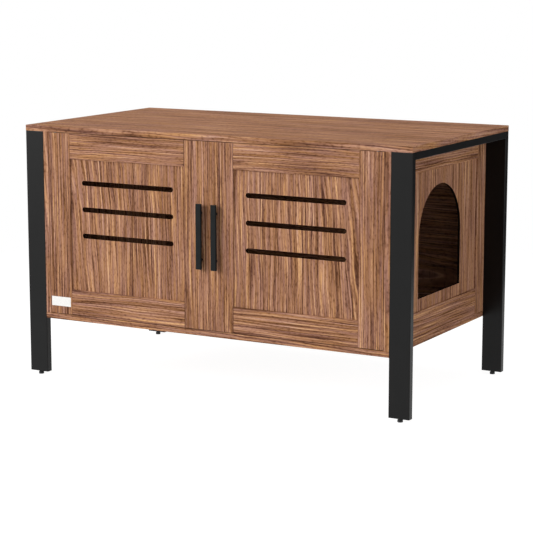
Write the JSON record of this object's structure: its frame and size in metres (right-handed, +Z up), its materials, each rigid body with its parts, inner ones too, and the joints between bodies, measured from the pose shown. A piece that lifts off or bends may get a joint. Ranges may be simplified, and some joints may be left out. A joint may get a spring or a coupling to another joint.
{
  "type": "cat litter box cabinet",
  "caption": "Two-door wood-grain cabinet on black steel leg frames, with an arched cat entrance in one side and vent slots in the doors.",
  "frame": {"origin": "on the floor, midway across the width and midway between the fronts of the handles and the back edge", "axes": "+X to the side with the arched entrance, -Y to the front with the doors, +Z up"},
  "size_m": [0.9, 0.497, 0.539],
  "materials": {
    "wood_grain_board": "walnut-print melamine paper on particle board, satin",
    "wood_grain_door_board": "walnut-print melamine paper on particle board, satin",
    "thin_wood_grain_panel": "walnut-print paper on thin fibreboard, satin",
    "black_steel_tube": "fine-texture black powder coat",
    "black_handle_metal": "matt black powder coat on die-cast zinc",
    "black_plastic": "moulded, fine grain",
    "black_foot": "moulded black plastic on a steel stud",
    "catch_plastic": "moulded brown plastic",
    "magnet": "sintered ferrite",
    "nylon": "moulded brown nylon",
    "pivot_steel": "turned steel",
    "zinc_plated_steel": "bright zinc plate",
    "beech_dowel": "unfinished fluted beech",
    "white_label": "blank white vinyl, semi-gloss"
  },
  "bodies": {
    "cabinet": {"top_panel": "wood_grain_board", "bottom_panel": "wood_grain_board", "back_panel": "thin_wood_grain_panel", "left_side_front_stile": "wood_grain_board", "left_side_back_stile": "wood_grain_board", "left_side_top_rail": "wood_grain_board", "left_side_bottom_rail": "wood_grain_board", "left_side_panel": "thin_wood_grain_panel", "right_side_front_stile": "wood_grain_board", "right_side_back_stile": "wood_grain_board", "right_side_top_rail": "wood_grain_board", "right_side_bottom_rail": "wood_grain_board", "right_side_arch_panel": "thin_wood_grain_panel", "side_frame_dowels": "beech_dowel", "top_dowels": "beech_dowel", "left_front_leg": "black_steel_tube", "left_back_leg": "black_steel_tube", "left_leg_rail": "black_steel_tube", "right_front_leg": "black_steel_tube", "right_back_leg": "black_steel_tube", "right_leg_rail": "black_steel_tube", "leg_end_plugs": "black_plastic", "leg_bolts": "zinc_plated_steel", "leg_weld_nuts": "zinc_plated_steel", "top_panel_screws": "zinc_plated_steel", "bottom_panel_screws": "zinc_plated_steel", "pivot_bushes": "nylon", "catch_housing": "catch_plastic", "catch_magnets": "magnet", "catch_screws": "zinc_plated_steel"},
    "left_door": {"left_door_meeting_stile": "wood_grain_door_board", "left_door_hinge_stile": "wood_grain_door_board", "left_door_top_rail": "wood_grain_door_board", "left_door_bottom_rail": "wood_grain_door_board", "left_door_vent_panel": "thin_wood_grain_panel", "left_door_dowels": "beech_dowel", "left_door_pivot_pins": "pivot_steel", "left_door_handle": "black_handle_metal", "left_door_handle_screws": "zinc_plated_steel", "left_door_strike_plate": "zinc_plated_steel", "left_door_strike_screw": "zinc_plated_steel", "left_door_label_plate": "white_label"},
    "right_door": {"right_door_meeting_stile": "wood_grain_door_board", "right_door_hinge_stile": "wood_grain_door_board", "right_door_top_rail": "wood_grain_door_board", "right_door_bottom_rail": "wood_grain_door_board", "right_door_vent_panel": "thin_wood_grain_panel", "right_door_dowels": "beech_dowel", "right_door_pivot_pins": "pivot_steel", "right_door_handle": "black_handle_metal", "right_door_handle_screws": "zinc_plated_steel", "right_door_strike_plate": "zinc_plated_steel", "right_door_strike_screw": "zinc_plated_steel"},
    "front_left_levelling_foot": {"left_front_foot": "black_foot"},
    "back_left_levelling_foot": {"left_back_foot": "black_foot"},
    "front_right_levelling_foot": {"right_front_foot": "black_foot"},
    "back_right_levelling_foot": {"right_back_foot": "black_foot"}
  },
  "joints": [
    {"name": "left_door_hinge", "type": "hinge", "parent": "cabinet", "child": "left_door", "pos_m": [-0.37591, -0.2315, 0.33275], "axis": [0, 0, -1], "range_deg": [0, 110]},
    {"name": "right_door_hinge", "type": "hinge", "parent": "cabinet", "child": "right_door", "pos_m": [0.37591, -0.2315, 0.33275], "axis": [0, 0, 1], "range_deg": [0, 110]},
    {"name": "left_front_foot_height", "type": "slide", "parent": "cabinet", "child": "front_left_levelling_foot", "axis": [0, 0, -1], "range_m": [0, 0.01]},
    {"name": "left_back_foot_height", "type": "slide", "parent": "cabinet", "child": "back_left_levelling_foot", "axis": [0, 0, -1], "range_m": [0, 0.01]},
    {"name": "right_front_foot_height", "type": "slide", "parent": "cabinet", "child": "front_right_levelling_foot", "axis": [0, 0, -1], "range_m": [0, 0.01]},
    {"name": "right_back_foot_height", "type": "slide", "parent": "cabinet", "child": "back_right_levelling_foot", "axis": [0, 0, -1], "range_m": [0, 0.01]}
  ]
}
